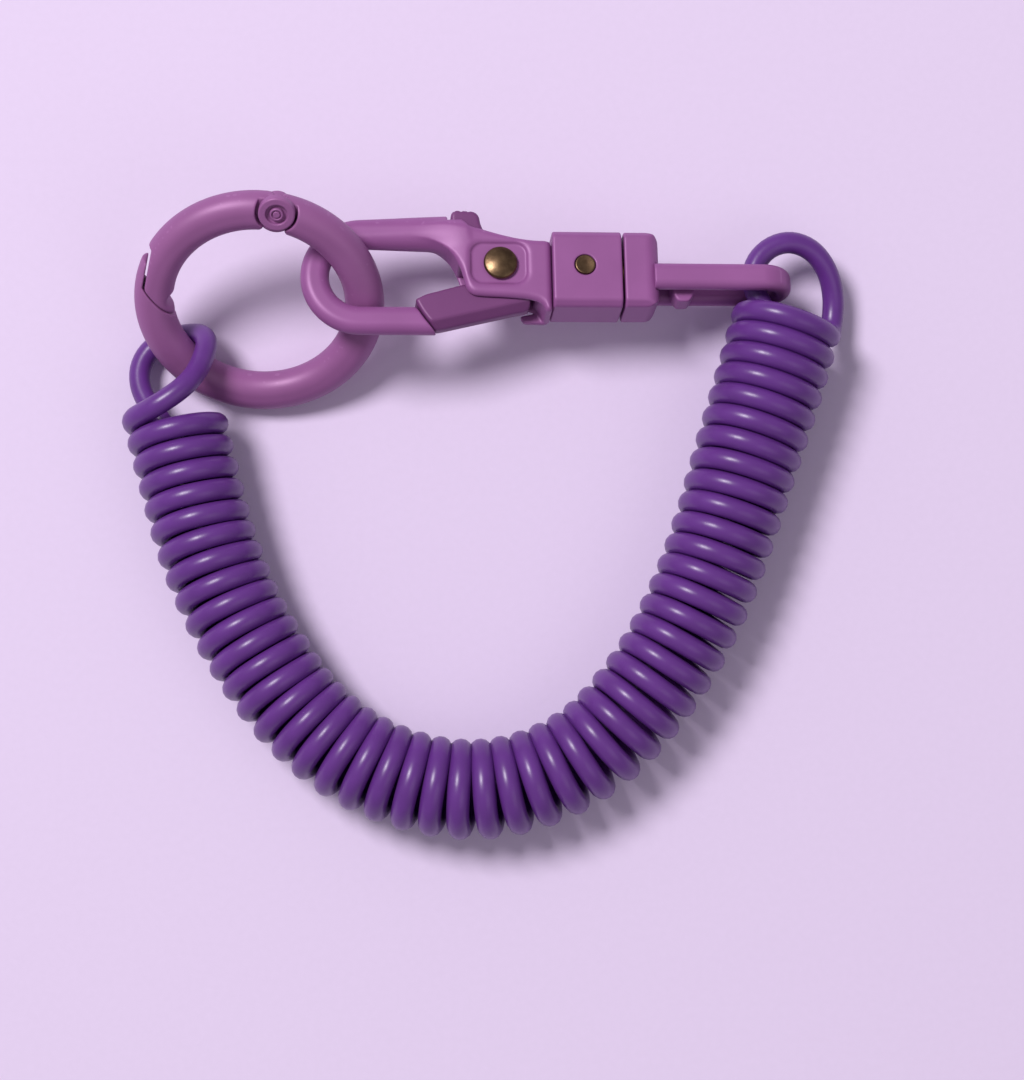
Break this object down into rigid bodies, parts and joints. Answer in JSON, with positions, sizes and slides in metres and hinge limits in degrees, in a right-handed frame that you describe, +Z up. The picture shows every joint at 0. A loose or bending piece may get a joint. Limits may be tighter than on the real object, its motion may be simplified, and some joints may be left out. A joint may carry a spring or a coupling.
{
  "type": "coiled lanyard with snap hook",
  "caption": "Coiled plastic-covered safety cord with a spring gate ring at one end and a swivelling trigger snap hook on a bail at the other.",
  "frame": {"origin": "On the table, under the middle of the box round the ring and the hook", "axes": "+X from the ring to the bail, +Z up out of the table, the coil's bend towards -Y"},
  "size_m": [0.1099, 0.097, 0.025],
  "materials": {
    "ring_paint": "satin",
    "hook_paint": "satin",
    "brass": "antique",
    "steel": "satin",
    "cord": "semi-gloss"
  },
  "bodies": {
    "hook": {"hook_body": "hook_paint", "lever_rivet": "brass", "lever_rivet_cap": "brass", "lever_spring": "steel", "barrel": "hook_paint", "barrel_pin": "brass", "swivel_washer": "brass", "coil_cord": "cord", "ring_eye": "cord", "bail_eye": "cord"},
    "lever": {"hook_lever": "hook_paint"},
    "swivel": {"swivel_cap": "hook_paint", "swivel_post": "steel", "post_key": "hook_paint", "bail": "hook_paint"},
    "ring": {"ring_body": "ring_paint", "ring_hinge_pin": "ring_paint", "ring_gate_spring": "steel"},
    "ring_gate": {"ring_gate": "ring_paint"}
  },
  "joints": [
    {"name": "lever_pivot", "type": "hinge", "parent": "hook", "child": "lever", "pos_m": [0.00523, 0.00472, 0.01178], "axis": [-0.084, -0.2672, -0.96], "range_deg": [0, 18], "stiffness_Nm_per_rad": 0.02, "springref_deg": -22.92},
    {"name": "swivel_turn", "type": "hinge", "parent": "hook", "child": "swivel", "pos_m": [0.0182, 0.0038, 0.0109], "axis": [0.9962, 0, -0.0872], "range_deg": [-6, 18]},
    {"name": "ring_turn", "type": "hinge", "parent": "hook", "child": "ring", "pos_m": [-0.0307, 0, 0.01209], "axis": [0, -0.5878, 0.809], "range_deg": [-20, 0]},
    {"name": "gate_hinge", "type": "hinge", "parent": "ring", "child": "ring_gate", "pos_m": [-0.02741, 0.0125, 0.02118], "axis": [0, -0.5878, 0.809], "range_deg": [0, 25], "stiffness_Nm_per_rad": 0.02, "springref_deg": -22.92}
  ]
}
